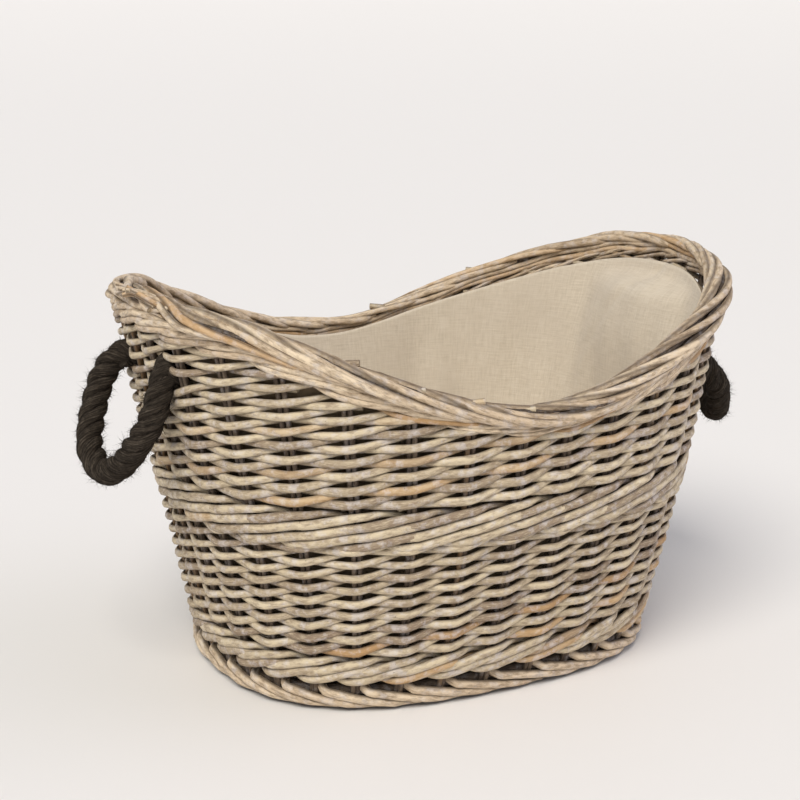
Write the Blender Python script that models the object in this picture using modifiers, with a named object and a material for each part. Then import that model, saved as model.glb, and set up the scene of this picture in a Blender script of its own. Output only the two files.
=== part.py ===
"""Oval wicker log basket with a rim that sweeps up at both ends, two rope handles and a cloth liner.

Metres, +Z up. The origin is on the ground under the middle of the basket, and X runs along its length.
Every woven piece follows one surface, the middle of the wall, which wall_point() gives.
"""

import math

import bmesh
import bpy
from mathutils import Vector

# The middle surface of the wall: an oval that grows with height
BASE_HALF_LENGTH = 0.1935
BASE_HALF_WIDTH = 0.148
END_LEAN, END_CURVE = 0.190, 0.08  # the ends run outwards by LEAN * z + CURVE * z * z
SIDE_LEAN, SIDE_CURVE = 0.435, -0.777  # the long sides do the same
END_DRAWN_IN, SIDE_DRAWN_IN = 0.0070, 0.0060  # the wall stands this much further in at its base
DRAWN_IN_TOP = 0.30
BASE_SQUARENESS, RIM_SQUARENESS = 2.65, 2.26  # 2 is an ellipse, more is squarer
SQUARENESS_TOP = 0.30  # height at which the oval has its rim squareness

# The rim: low at the middle of the long sides, high at the ends
RIM_MIDDLE = 0.2445
RIM_END = 0.333
RIM_POWER = 1.29
RIM_SOFTNESS = 0.10  # rounds the low point

# Weave
STAKES = 32
ROD_RADIUS = 0.0025
STAKE_SIDES, STAKE_LENGTHS = 8, 4
STRAND = 0.004  # thickness of a siding course
WALE_STRAND = 0.0055
FLAT_OVER_STAKE = 0.0062  # a course runs flat this far each side of a stake line
CLEARANCE = 0.0007  # between a course and the stakes it passes
GAP = 0.0005  # between pieces that rest on each other
COURSE_GAP = 0.0017  # between courses, whose edges are square to the leaning wall
ARC_SAMPLES = 2048

# Levels of the woven bands
FOOT_TOP = 0.0210
LOWER_WALE_BOTTOM = 0.0225
STAKE_FOOT = FOOT_TOP + GAP
LOWER_WALE_TOP = 0.0510
LOWER_SIDING_TOP = 0.1420
MIDDLE_WALE_TOP = 0.1795
LEVEL_SIDING_TOP = 0.2165  # above this only the two ends go on
BORDER_BELOW_RIM = 0.0135  # the border hides this much of the wall under the rim line
TOP_WALE_BELOW_RIM = 0.0275
END_COURSES = 3
LEAST_WEDGE = 0.012  # an end's siding stops where it is thinner than this in all

# Borders
BORDER_HALF_WIDTH, BORDER_HALF_THICKNESS = 0.0134, 0.0072
BORDER_TILT = math.radians(30)  # the outer edge of the rim border hangs down by this
FOOT_HALF_WIDTH = 0.0105
FOOT_OUT = 0.002
BORDER_SEGMENTS = 64

# Base
BASE_BOTTOM, BASE_TOP = 0.0232, 0.0395
BASE_SHRINK = 0.0098  # from the wall's middle surface to the edge of the base
CROSS_STICKS, LONG_STICKS = 9, 3
CROSS_STICK_LEVEL, LONG_STICK_LEVEL = 0.0282, 0.0343
CROSS_STICK_SPACING, LONG_STICK_SPACING = 0.038, 0.055
STICK_RADIUS = 0.0033
STICK_INSET = 0.004

# Liner
CLOTH = 0.0015
LINER_IN = 0.0098  # from the wall's middle surface to the cloth
LINER_BELOW_RIM = 0.018
LINER_BULGE = 0.0216  # more, where it passes over the rope inside each end
BULGE_HALF_WIDTH, BULGE_HALF_HEIGHT = 0.064, 0.026
LINER_ROWS = (0, 0.35, 0.65, 0.79, 0.91, 1)  # how far up it each row of points is

# Rope handles
ROPE_RADIUS = 0.011
HOLE_RADIUS = 0.013
HOLE_Y = 0.0455
HANDLE_Z = 0.270
HINGE_X = 0.2648
ROPE_STUB_X = 0.2530  # where the rope inside the wall ends, clear of the swinging part
ROPE_SQUEEZE = 0.6  # the rope inside is pressed flat between wall and liner
INNER_TURN = 0.014  # radius of its turn, before it is pressed
INNER_DEPTH = 0.0355
BINDING_HALF_LENGTH, BINDING_WALL = 0.014, 0.0012
# The loop of the left handle, as offsets from its hinge line: outwards, along Y, and up
HANDLE_ROUTE = [
    (0.0000, -0.0455, 0.0000),
    (-0.0006, -0.0465, -0.0150),
    (0.0000, -0.0465, -0.0300),
    (0.0042, -0.0420, -0.0510),
    (0.0119, -0.0180, -0.0757),
    (0.0192, 0.0060, -0.0847),
    (0.0217, 0.0300, -0.0720),
    (0.0172, 0.0430, -0.0575),
    (0.0109, 0.0500, -0.0420),
    (0.0052, 0.0510, -0.0220),
    (0.0000, 0.0455, 0.0000),
]
# The right loop is a little longer and hangs further out
RIGHT_SWUNG_OUT, RIGHT_LONGER = math.radians(19), 1.14
ROUTE_STEPS = 2

WICKER = (0.50, 0.41, 0.29, 1)
STAKE_WICKER = (0.34, 0.27, 0.19, 1)
LINEN = (0.66, 0.58, 0.46, 1)
ROPE_BROWN = (0.045, 0.033, 0.025, 1)
TWINE = (0.30, 0.24, 0.17, 1)


# ---- the wall's surface


def drawn_in(z):
    """How much of its full draw-in the wall has at a level: all at the base and none at the rim."""
    return 1 - min(max(z, 0.0) / DRAWN_IN_TOP, 1.0) ** 3


def half_length(z):
    return BASE_HALF_LENGTH + END_LEAN * z + END_CURVE * z * z - END_DRAWN_IN * drawn_in(z)


def half_width(z):
    return BASE_HALF_WIDTH + SIDE_LEAN * z + SIDE_CURVE * z * z - SIDE_DRAWN_IN * drawn_in(z)


def oval(angle, z):
    """The point of the wall's middle surface at this angle and height."""
    share = min(z / SQUARENESS_TOP, 1.2)
    power = 2 / (BASE_SQUARENESS + (RIM_SQUARENESS - BASE_SQUARENESS) * share)
    c, s = math.cos(angle), math.sin(angle)
    x = half_length(z) * math.copysign(abs(c) ** power, c)
    y = half_width(z) * math.copysign(abs(s) ** power, s)
    return Vector((x, y, z))


def wall_point(angle, z, out=0.0):
    """A point at the height z and at a distance out from the middle surface."""
    step = 1e-3
    around = oval(angle + step, z) - oval(angle - step, z)
    upwards = oval(angle, z + step) - oval(angle, z - step)
    normal = around.cross(upwards).normalized()
    level = Vector((normal.x, normal.y, 0))
    return oval(angle, z) + level * out / level.length_squared


def rim_height(angle):
    """Height of the middle of the rim border."""

    def rise(cosine):
        return (cosine**2 + RIM_SOFTNESS**2) ** (RIM_POWER / 2)

    share = (rise(math.cos(angle)) - rise(0)) / (rise(1) - rise(0))
    return RIM_MIDDLE + (RIM_END - RIM_MIDDLE) * share


def arc_table():
    """Angles and the distance round the wall to each, at the level of the middle wale."""
    table, length = [(0.0, 0.0)], 0.0
    last = oval(0, LOWER_SIDING_TOP)
    for i in range(1, ARC_SAMPLES + 1):
        angle = 2 * math.pi * i / ARC_SAMPLES
        point = oval(angle, LOWER_SIDING_TOP)
        length += (point - last).length
        table.append((angle, length))
        last = point
    return table


ARCS = arc_table()
GIRTH = ARCS[-1][1]
PITCH = GIRTH / STAKES  # from one stake line to the next


def angle_at(place):
    """Angle of a place counted in stakes. Stake lines are whole numbers, and the +X end is half way between two."""
    target = (place + 0.5) % STAKES * PITCH
    low, high = 0, ARC_SAMPLES
    while high - low > 1:
        middle = (low + high) // 2
        if ARCS[middle][1] > target:
            high = middle
        else:
            low = middle
    (a0, s0), (a1, s1) = ARCS[low], ARCS[high]
    return a0 + (a1 - a0) * (target - s0) / (s1 - s0)


# ---- helpers


def material(name, colour, roughness):
    made = bpy.data.materials.new(name)
    made.use_nodes = True
    shader = made.node_tree.nodes["Principled BSDF"]
    shader.inputs["Base Color"].default_value = colour
    shader.inputs["Roughness"].default_value = roughness
    shader.inputs["Metallic"].default_value = 0.0
    return made


def keep(obj, name, finish, collection=None):
    """Names an object, gives it its material and puts it in the basket's collection alone."""
    obj.name = name
    obj.data.name = name
    obj.data.materials.clear()
    obj.data.materials.append(finish)
    for old in list(obj.users_collection):
        old.objects.unlink(obj)
    (collection or basket).objects.link(obj)
    return obj


def mesh_object(name, bm, finish):
    mesh = bpy.data.meshes.new(name)
    bm.to_mesh(mesh)
    bm.free()
    return keep(bpy.data.objects.new(name, mesh), name, finish)


def solidify(obj, thickness):
    shell = obj.modifiers.new("Thickness", "SOLIDIFY")
    shell.thickness = thickness
    shell.offset = 0.0
    shell.use_even_offset = True
    return obj


def tube(name, routes, radius, finish, sides=8, closed=False):
    """Round bars along one or more routes of points, in one object."""
    data = bpy.data.curves.new(name, "CURVE")
    data.dimensions = "3D"
    data.bevel_depth = radius
    data.bevel_resolution = sides // 2 - 2
    data.use_fill_caps = not closed
    for route in routes:
        spline = data.splines.new("POLY")
        spline.points.add(len(route) - 1)
        spline.use_cyclic_u = closed
        for point, place in zip(spline.points, route):
            point.co = (*place, 1.0)
    return keep(bpy.data.objects.new(name, data), name, finish)


def smooth_route(points, steps):
    """Points on a smooth curve through the given ones."""
    ends = [points[0] * 2 - points[1]] + points + [points[-1] * 2 - points[-2]]
    made = []
    for a, b, c, d in zip(ends, ends[1:], ends[2:], ends[3:]):
        for i in range(steps):
            t = i / steps
            made.append(
                (b * 2 + (c - a) * t + (a * 2 - b * 5 + c * 4 - d) * t**2 + (b * 3 - a - c * 3 + d) * t**3) / 2
            )
    return made + [points[-1]]


def slab(name, outline, low, high, finish):
    """A flat plate with the given outline between two levels."""
    data = bpy.data.curves.new(name, "CURVE")
    data.dimensions = "2D"
    data.fill_mode = "BOTH"
    data.extrude = (high - low) / 2
    spline = data.splines.new("POLY")
    spline.points.add(len(outline) - 1)
    spline.use_cyclic_u = True
    for point, place in zip(spline.points, outline):
        point.co = (place.x, place.y, 0.0, 1.0)
    obj = keep(bpy.data.objects.new(name, data), name, finish)
    obj.location.z = (low + high) / 2
    return obj


def as_mesh(curve_object, finish):
    """The same piece as a mesh with welded caps, so that it can be cut."""
    bpy.context.view_layer.update()
    evaluated = curve_object.evaluated_get(bpy.context.evaluated_depsgraph_get())
    mesh = bpy.data.meshes.new_from_object(evaluated)
    name, place = curve_object.name, curve_object.matrix_world.copy()
    bpy.data.objects.remove(curve_object)
    bm = bmesh.new()
    bm.from_mesh(mesh)
    bmesh.ops.remove_doubles(bm, verts=bm.verts, dist=1e-5)
    bm.to_mesh(mesh)
    bm.free()
    made = keep(bpy.data.objects.new(name, mesh), name, finish)
    made.matrix_world = place
    return made


def cutter(obj):
    """Marks an object as a tool that only cuts."""
    keep(obj, "cut_" + obj.name, finishes["wicker"], cutters)
    obj.hide_render = True
    obj.display_type = "WIRE"
    return obj


def cut(obj, tool):
    boolean = obj.modifiers.new("Cut", "BOOLEAN")
    boolean.operation = "DIFFERENCE"
    boolean.solver = "EXACT"
    boolean.object = tool
    return obj


def bar(name, start, end, radius, sides=6):
    """A straight round bar as a mesh, made from a cylinder."""
    start, end = Vector(start), Vector(end)
    bpy.ops.mesh.primitive_cylinder_add(
        vertices=sides, radius=radius, depth=(end - start).length, location=(start + end) / 2
    )
    made = bpy.context.object
    made.rotation_mode = "QUATERNION"
    made.rotation_quaternion = (end - start).to_track_quat("Z", "Y")
    made.name = name
    return made


def joined(objects, name, finish):
    """Several meshes as one node of separate solids."""
    bm = bmesh.new()
    bpy.context.view_layer.update()
    for obj in objects:
        mesh = obj.data.copy()
        mesh.transform(obj.matrix_world)
        bm.from_mesh(mesh)
        bpy.data.meshes.remove(mesh)
        bpy.data.objects.remove(obj)
    return mesh_object(name, bm, finish)


# ---- the weave


def open_ring(columns, rows=1):
    """An open cylinder whose vertices come back with their column and row: (bmesh, [(vertex, column, row share)])."""
    bm = bmesh.new()
    bmesh.ops.create_cone(bm, cap_ends=False, segments=columns, radius1=1, radius2=1, depth=1)
    if rows > 1:
        uprights = [e for e in bm.edges if abs(e.verts[0].co.z - e.verts[1].co.z) > 0.5]
        bmesh.ops.subdivide_edges(bm, edges=uprights, cuts=rows - 1)
    places = []
    for vertex in bm.verts:
        angle = math.atan2(vertex.co.y, vertex.co.x)
        places.append((vertex, round(angle / (2 * math.pi) * columns) % columns, vertex.co.z + 0.5))
    return bm, places


def woven_course(name, low, high, phase, strand, finish, wanted=lambda angle: True):
    """One course of weaving from the level low(angle) to high(angle).

    It passes outside every second stake and inside the others; phase 0 or 1 says which come first.
    """
    columns = 2 * STAKES
    away = ROD_RADIUS + CLEARANCE + strand / 2
    half_flat = FLAT_OVER_STAKE / PITCH
    bm, places = open_ring(columns)
    unwanted = []
    for vertex, column, share in places:
        stake, side = divmod(column, 2)
        angle = angle_at(stake + (half_flat if side else -half_flat))
        if not wanted(angle):
            unwanted.append(vertex)
        level = low(angle) + (high(angle) - low(angle)) * share
        out = away if (stake + phase) % 2 else -away
        vertex.co = wall_point(angle, level, out)
    bmesh.ops.delete(bm, geom=unwanted, context="VERTS")
    return solidify(mesh_object(name, bm, finish), strand)


def level(height, offset=0.0):
    return lambda angle: height + offset


def under_rim(drop):
    return lambda angle: rim_height(angle) - drop


def band(name, bottom, top, courses, strand, phase=0):
    """A level band of weaving, made of equal courses."""
    height = (top - bottom) / courses
    for i in range(courses):
        label = name if courses == 1 else f"{name}_{i + 1}"
        low = level(bottom + height * i, COURSE_GAP / 2)
        high = level(bottom + height * (i + 1), -COURSE_GAP / 2)
        woven_course(label, low, high, (i + phase) % 2, strand, finishes["wicker"])


def end_siding(side, sign):
    """The courses that build up one end of the basket, with two holes for the rope."""

    def wedge(angle):
        return rim_height(angle) - TOP_WALE_BELOW_RIM - LEVEL_SIDING_TOP

    def wanted(angle):
        return math.cos(angle) * sign > 0 and wedge(angle) > LEAST_WEDGE

    tools = []
    for y in (-HOLE_Y, HOLE_Y):
        inside = (sign * (HINGE_X - 0.06), y, HANDLE_Z)
        outside = (sign * (HINGE_X + 0.03), y, HANDLE_Z)
        tools.append(cutter(bar(f"rope_hole_{side}_{'near' if y < 0 else 'far'}", inside, outside, HOLE_RADIUS, 10)))
    for i in range(END_COURSES):

        def edge(share, offset):
            return lambda angle: LEVEL_SIDING_TOP + wedge(angle) * share + offset

        low, high = edge(i / END_COURSES, COURSE_GAP / 2), edge((i + 1) / END_COURSES, -COURSE_GAP / 2)
        name = f"{side}_end_siding_{i + 1}"
        course = woven_course(name, low, high, i % 2, STRAND, finishes["wicker"], wanted)
        if i > 0:
            for tool in tools:
                cut(course, tool)


def stakes():
    """Each stake stands in the wall with its bye-stake against it, so the two are one flat oval bar."""
    for stake in range(STAKES):
        bm = bmesh.new()
        bmesh.ops.create_cone(bm, cap_ends=True, segments=STAKE_SIDES, radius1=1, radius2=1, depth=1)
        uprights = [e for e in bm.edges if abs(e.verts[0].co.z - e.verts[1].co.z) > 0.5]
        bmesh.ops.subdivide_edges(bm, edges=uprights, cuts=STAKE_LENGTHS - 1)
        top = rim_height(angle_at(stake)) - BORDER_BELOW_RIM - GAP
        for vertex in bm.verts:
            height = STAKE_FOOT + (top - STAKE_FOOT) * (vertex.co.z + 0.5)
            angle = angle_at(stake - vertex.co.x * 2 * ROD_RADIUS / PITCH)
            vertex.co = wall_point(angle, height, vertex.co.y * ROD_RADIUS)
        mesh_object(f"stake_{stake + 1:02}", bm, finishes["stake"])


def section_ring(name, centre, section, finish):
    """A closed ring made from a torus: section(turn) gives each point of the section as (out, up)."""
    sides = 6
    bpy.ops.mesh.primitive_torus_add(
        major_segments=BORDER_SEGMENTS, minor_segments=sides, major_radius=2, minor_radius=1
    )
    ring = bpy.context.object
    for vertex in ring.data.vertices:
        angle = math.atan2(vertex.co.y, vertex.co.x)
        place = centre(angle)
        normal = wall_point(angle, place.z, 1) - oval(angle, place.z)
        radial = math.hypot(vertex.co.x, vertex.co.y) - 2
        out, up = section(math.atan2(vertex.co.z, radial))
        vertex.co = place + normal.normalized() * out + Vector((0, 0, up))
    return keep(ring, name, finish)


def rim_border():
    def centre(angle):
        return oval(angle, rim_height(angle))

    def section(turn):
        along = BORDER_HALF_WIDTH * math.cos(turn)
        across = BORDER_HALF_THICKNESS * math.sin(turn)
        out = along * math.cos(BORDER_TILT) + across * math.sin(BORDER_TILT)
        up = across * math.cos(BORDER_TILT) - along * math.sin(BORDER_TILT)
        return out, up

    section_ring("rim_border", centre, section, finishes["wicker"])


def foot_border():
    half_height = FOOT_TOP / 2

    def centre(angle):
        return wall_point(angle, half_height, FOOT_OUT)

    def section(turn):
        flat = math.sin(math.radians(60))
        up = max(-1.0, min(1.0, math.sin(turn) / flat)) * half_height
        return FOOT_HALF_WIDTH * math.cos(turn), up

    section_ring("foot_border", centre, section, finishes["wicker"])


# ---- the base


def inner_outline(z, inset, points=48):
    """The wall's oval at a height, drawn in by inset."""
    return [wall_point(2 * math.pi * i / points, z, -inset) for i in range(points)]


def half_chord(outline, place, across):
    """Half the length of the outline where it crosses x = place (across "x") or y = place (across "y")."""
    ends = []
    for a, b in zip(outline, outline[1:] + outline[:1]):
        (p, q), (r, s) = ((a.x, b.x), (a.y, b.y)) if across == "x" else ((a.y, b.y), (a.x, b.x))
        if (p - place) * (q - place) <= 0 and p != q:
            ends.append(abs(r + (s - r) * (place - p) / (q - p)))
    return min(ends)


def base():
    """A lattice of sticks, the long ones let into the cross ones, and the weaving that fills round it."""
    outline = inner_outline(BASE_BOTTOM, BASE_SHRINK)
    weave = as_mesh(slab("base_weave", outline, BASE_BOTTOM, BASE_TOP, finishes["wicker"]), finishes["wicker"])
    lattice = None
    groups = (
        (CROSS_STICKS, CROSS_STICK_SPACING, CROSS_STICK_LEVEL, "x"),
        (LONG_STICKS, LONG_STICK_SPACING, LONG_STICK_LEVEL, "y"),
    )
    for count, spacing, height, across in groups:
        for i in range(count):
            place = (i - (count - 1) / 2) * spacing
            reach = min(half_chord(outline, place + side, across) for side in (-STICK_RADIUS, STICK_RADIUS))
            reach -= STICK_INSET
            bars = []
            for kind, radius, half in (("stick", STICK_RADIUS, reach), ("groove", STICK_RADIUS + GAP, reach + 0.03)):
                ends = [(place, y, height) if across == "x" else (y, place, height) for y in (-half, half)]
                bars.append(bar(f"{kind}_{across}_{i + 1}", ends[0], ends[1], radius))
            stick, groove = bars
            cut(weave, cutter(groove))
            if lattice is None:
                lattice = keep(stick, "base_sticks", finishes["stake"])
            else:
                joint = cut(lattice, cutter(stick))
                joint.modifiers[-1].operation = "UNION"


# ---- the liner


def liner():
    columns = 2 * STAKES
    floor_level = BASE_TOP + GAP
    floor = slab(
        "liner_floor",
        inner_outline(floor_level, LINER_IN + CLOTH + GAP),
        floor_level,
        floor_level + CLOTH,
        finishes["linen"],
    )
    bm, places = open_ring(columns, len(LINER_ROWS) - 1)
    for vertex, column, share in places:
        angle = 2 * math.pi * column / columns
        share = LINER_ROWS[round(share * (len(LINER_ROWS) - 1))]
        top = rim_height(angle) - LINER_BELOW_RIM
        height = floor_level + CLOTH + GAP + (top - floor_level - CLOTH - GAP) * share
        y = oval(angle, height).y
        sideways = math.exp(-((y / BULGE_HALF_WIDTH) ** 4))
        upwards = math.exp(-(((height - HANDLE_Z) / BULGE_HALF_HEIGHT) ** 4))
        vertex.co = wall_point(angle, height, -LINER_IN - LINER_BULGE * sideways * upwards)
    solidify(mesh_object("liner_wall", bm, finishes["linen"]), CLOTH)
    return floor


# ---- the rope handles


def rope_inside(side, sign):
    """The rope's run between wall and liner, pressed flat, and the twine that binds its two ends together."""
    turn = [i * math.pi / 8 for i in range(5)]
    straight = INNER_DEPTH - INNER_TURN
    half = [Vector((0, -HOLE_Y, 0))]
    for a in turn:
        half.append(
            Vector((straight + INNER_TURN * math.sin(a), -HOLE_Y + INNER_TURN * (1 - math.cos(a)), 0))
        )
    route = half + [Vector((p.x, -p.y, 0)) for p in reversed(half)]
    rope = tube(f"rope_inside_{side}", [route], ROPE_RADIUS, finishes["rope"])
    rope = as_mesh(rope, finishes["rope"])
    binding_radius = ROPE_RADIUS + GAP + BINDING_WALL / 2
    bm, places = open_ring(16)
    for vertex, _, share in places:
        y = (share - 0.5) * 2 * BINDING_HALF_LENGTH
        squeezed = vertex.co.x * (ROPE_RADIUS * ROPE_SQUEEZE + GAP + BINDING_WALL / 2)
        vertex.co = Vector((squeezed, y, vertex.co.y * binding_radius))
    binding = solidify(mesh_object(f"rope_binding_{side}", bm, finishes["twine"]), BINDING_WALL)
    binding.location = (sign * (ROPE_STUB_X - INNER_DEPTH * ROPE_SQUEEZE), 0, HANDLE_Z)
    for vertex in rope.data.vertices:
        x = sign * (ROPE_STUB_X - vertex.co.x * ROPE_SQUEEZE)
        vertex.co = Vector((x, vertex.co.y, vertex.co.z + HANDLE_Z))
    if sign > 0:
        rope.data.flip_normals()


def rope_handle(side, sign):
    """The loop outside the wall. Its origin is on the line through the two holes, which it swings about."""
    swung, longer = (RIGHT_SWUNG_OUT, RIGHT_LONGER) if sign > 0 else (0.0, 1.0)
    points = []
    for out, y, up in HANDLE_ROUTE:
        further = out * math.cos(swung) - up * math.sin(swung)
        higher = up * math.cos(swung) + out * math.sin(swung)
        points.append(Vector((sign * further * longer, y, higher * longer)))
    loop = tube(f"rope_handle_{side}", [smooth_route(points, ROUTE_STEPS)], ROPE_RADIUS, finishes["rope"])
    loop.location = (sign * HINGE_X, 0, HANDLE_Z)


def new_collection(name):
    made = bpy.data.collections.new(name)
    bpy.context.scene.collection.children.link(made)
    return made


for old in list(bpy.data.objects):
    bpy.data.objects.remove(old)
basket = new_collection("wicker_log_basket")
cutters = new_collection("cutters")
finishes = {
    "wicker": material("washed_willow", WICKER, 0.7),
    "stake": material("willow_stake", STAKE_WICKER, 0.75),
    "linen": material("natural_linen", LINEN, 0.95),
    "rope": material("brown_rope", ROPE_BROWN, 0.95),
    "twine": material("binding_twine", TWINE, 0.9),
}

foot_border()
band("lower_wale", LOWER_WALE_BOTTOM, LOWER_WALE_TOP, 1, WALE_STRAND)
band("lower_siding", LOWER_WALE_TOP, LOWER_SIDING_TOP, 3, STRAND, 1)
band("middle_wale", LOWER_SIDING_TOP, MIDDLE_WALE_TOP, 1, WALE_STRAND)
band("upper_siding", MIDDLE_WALE_TOP, LEVEL_SIDING_TOP, 1, STRAND, 1)
for name, sign in (("left", -1), ("right", 1)):
    end_siding(name, sign)
    rope_inside(name, sign)
    rope_handle(name, sign)
woven_course(
    "top_wale",
    under_rim(TOP_WALE_BELOW_RIM - COURSE_GAP / 2),
    under_rim(BORDER_BELOW_RIM),
    1,
    WALE_STRAND,
    finishes["wicker"],
)
rim_border()
stakes()
base()
liner()
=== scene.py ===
"""Wicker log basket, seen: every rod of the weave, the two borders, the rope loops and the linen liner."""

import math

import bpy
import numpy as np
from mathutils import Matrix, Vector


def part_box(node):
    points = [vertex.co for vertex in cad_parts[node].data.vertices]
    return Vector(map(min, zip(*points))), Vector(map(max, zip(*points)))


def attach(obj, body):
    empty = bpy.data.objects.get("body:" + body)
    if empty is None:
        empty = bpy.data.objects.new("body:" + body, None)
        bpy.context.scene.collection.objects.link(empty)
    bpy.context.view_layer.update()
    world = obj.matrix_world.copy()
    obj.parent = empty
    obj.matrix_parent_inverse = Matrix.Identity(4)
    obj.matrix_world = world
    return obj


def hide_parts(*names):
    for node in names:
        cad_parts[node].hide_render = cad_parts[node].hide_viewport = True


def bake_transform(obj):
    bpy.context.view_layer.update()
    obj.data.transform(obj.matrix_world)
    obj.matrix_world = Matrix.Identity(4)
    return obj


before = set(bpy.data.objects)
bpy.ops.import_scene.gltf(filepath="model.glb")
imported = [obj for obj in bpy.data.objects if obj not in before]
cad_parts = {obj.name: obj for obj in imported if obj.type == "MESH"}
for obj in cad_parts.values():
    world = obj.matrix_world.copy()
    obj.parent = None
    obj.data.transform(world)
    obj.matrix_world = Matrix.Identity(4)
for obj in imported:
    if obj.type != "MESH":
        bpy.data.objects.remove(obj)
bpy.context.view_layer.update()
rng = np.random.default_rng(7)

# ---- the wall's middle surface, as the CAD model has it

BASE_HALF_LENGTH, BASE_HALF_WIDTH = 0.1935, 0.148
END_LEAN, END_CURVE = 0.190, 0.08
SIDE_LEAN, SIDE_CURVE = 0.435, -0.777
END_DRAWN_IN, SIDE_DRAWN_IN, DRAWN_IN_TOP = 0.0070, 0.0060, 0.30
BASE_SQUARENESS, RIM_SQUARENESS, SQUARENESS_TOP = 2.65, 2.26, 0.30
RIM_MIDDLE, RIM_END, RIM_POWER, RIM_SOFTNESS = 0.2445, 0.333, 1.29, 0.10
LEFT_TIP_DROP, LEFT_TIP_IN, LEFT_TIP_THINNER = 0.0095, 0.0095, 0.25  # how the rim's left tip has sagged
LEFT_PULLED_IN = 0.006  # the top of the left end stands this much further in
STAKES = 32
ARC_LEVEL = 0.142

# Levels, from the CAD bands
FOOT_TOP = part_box("foot_border")[1].z
LOWER_WALE = (FOOT_TOP + 0.001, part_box("lower_siding_1")[0].z)
LOWER_SIDING = (LOWER_WALE[1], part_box("middle_wale")[0].z)
MIDDLE_WALE = (LOWER_SIDING[1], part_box("upper_siding")[0].z)
BORDER_BELOW_RIM = 0.0025
TOP_WALE_MIDDLE, TOP_WALE_END = 0.0130, 0.0200  # height of the top wale at the low middle and at the ends
SIDING_RUNS_UP = 0.003  # the siding runs on this far behind the wale above it

# Rods
ROD_OUT, ROD_UP = 0.0028, 0.0038  # half of a rod's section, out from the wall and along it
STAKE_ROD = 0.0022
STAKE_FOOT, STAKE_BELOW_RIM, STAKE_POINTS = 0.012, 0.006, 40
PAIR_GAP = 0.0020  # a stake and its bye-stake stand this far each side of the stake line
SWING = STAKE_ROD + ROD_OUT - 0.0003  # how far a rod's middle stands off the stakes' line
CLIMB = 0.0056  # a siding rod rises this much from one stake to the next
KINK = 0.13  # share of that rise that is held back until the rod has crossed the stake
STEPS = 11  # points of a rod per stake
WALE_PIECE, PIECE_OVERLAP = 9, 0.35  # a wale's rod lasts this many stakes and passes the next rod's end by this
CUT_REACH, SOFT_REACH = 0.0004, 0.0035  # how far a rod's end stands out at its middle
SHARP_FROM = math.radians(55)

# Borders
BORDER_ALONG, BORDER_ACROSS = 0.0098, 0.0040
BORDER_TILT = math.radians(30)
BORDER_ROD = 0.0035
BORDER_RUN = 5.6  # stakes that a border rod runs past
BORDER_START, BORDER_TURN = 236, 296  # where round the border a rod starts, and how far round it goes, in degrees
CORE_ROD, CORE_DEPTH = 0.0034, 0.0042
TIP_PLACE, TIP_RODS, TIP_POINTS = 15.5, 13, 16
FOOT_ROD = 0.0037
FOOT_RUN = 2.5
FOOT_START, FOOT_FALL = 0.0022, 0.0150  # a foot rod starts this far below the foot's top and falls this much

# The rope handles, as in the CAD model
ROPE_RADIUS = 0.011
HOLE_Y, HANDLE_Z, HINGE_X = 0.0455, 0.270, 0.2648
HOLE_PUSH = 0.0070  # the rods beside a rope are pushed this far up and down
ROPE_STUB_X, ROPE_SQUEEZE, INNER_TURN, INNER_DEPTH = 0.2530, 0.6, 0.014, 0.0355
RIGHT_SWUNG_OUT, RIGHT_LONGER = math.radians(18), 1.34
HANDLE_ROUTE = [
    (-0.0235, -0.0455, 0.0090),
    (-0.0185, -0.0455, 0.0045),
    (-0.0140, -0.0460, -0.0080),
    (-0.0085, -0.0470, -0.0240),
    (-0.0028, -0.0465, -0.0385),
    (0.0040, -0.0420, -0.0515),
    (0.0119, -0.0180, -0.0757),
    (0.0192, 0.0060, -0.0847),
    (0.0214, 0.0300, -0.0720),
    (0.0168, 0.0425, -0.0580),
    (0.0109, 0.0500, -0.0430),
    (0.0057, 0.0535, -0.0300),
    (0.0005, 0.0540, -0.0170),
    (-0.0070, 0.0510, -0.0050),
    (-0.0150, 0.0475, 0.0010),
    (-0.0230, 0.0455, 0.0050),
]
ROPE_LAY = 0.045  # a strand goes once round the rope in this length
YARNS, YARN_LAY = 11, 0.034  # yarns seen round a strand, and the length in which one goes round it
STRAND_SIDES = 30
HAIRS_A_METRE = 3600  # for each strand
BINDING_TURNS, BINDING_LENGTH, TWINE_RADIUS = 15, 0.026, 0.0009

# The liner
LINER_IN, LINER_BULGE = 0.0098, 0.0216
BULGE_HALF_WIDTH, BULGE_HALF_HEIGHT, BULGE_DEPTH, BULGE_SLOPE = 0.064, 0.026, 0.012, 0.075
LINER_BELOW_MIDDLE, LINER_BELOW_END = 0.0070, 0.0175
LINER_FLOOR = 0.0402
CLOTH, THREAD = 0.0013, 0.0011  # the cloth's thickness, and the distance from thread to thread
CREASES = (  # (place of a crease at the top edge, stakes it leans to the floor, strength)
    (-0.75, 5.5, 0.0022),
    (-1.55, 3.0, 0.0012),
    (15.6, -4.0, 0.0018),
    (1.3, 6.0, 0.0009),
)

# The base
BASE_LEVEL, BASE_HEIGHT = 0.0315, 0.031
BASE_EDGE, WEAVE_EDGE = 0.009, 0.018  # sticks and weaving stop this far inside the wall
STICK_ROD, STICK_PITCH, STICK_SIDE = 0.0026, 0.038, 0.0028
BASE_ROW = 0.0058

FLOOR_LEVEL, FLOOR_SIDES = -0.0004, 48
# (radius, height): far off the floor curves up, so that no horizon shows
FLOOR_RINGS = ((8.0, FLOOR_LEVEL), (12.0, 0.2), (16.0, 0.6), (20.0, 1.4), (24.0, 2.8), (27.0, 4.4))

STEP = 1e-3  # for directions, which are taken from differences
UP = np.array([0, 0, 1.0])


def drawn_in(z):
    return 1 - np.clip(z / DRAWN_IN_TOP, 0, 1) ** 3


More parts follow.
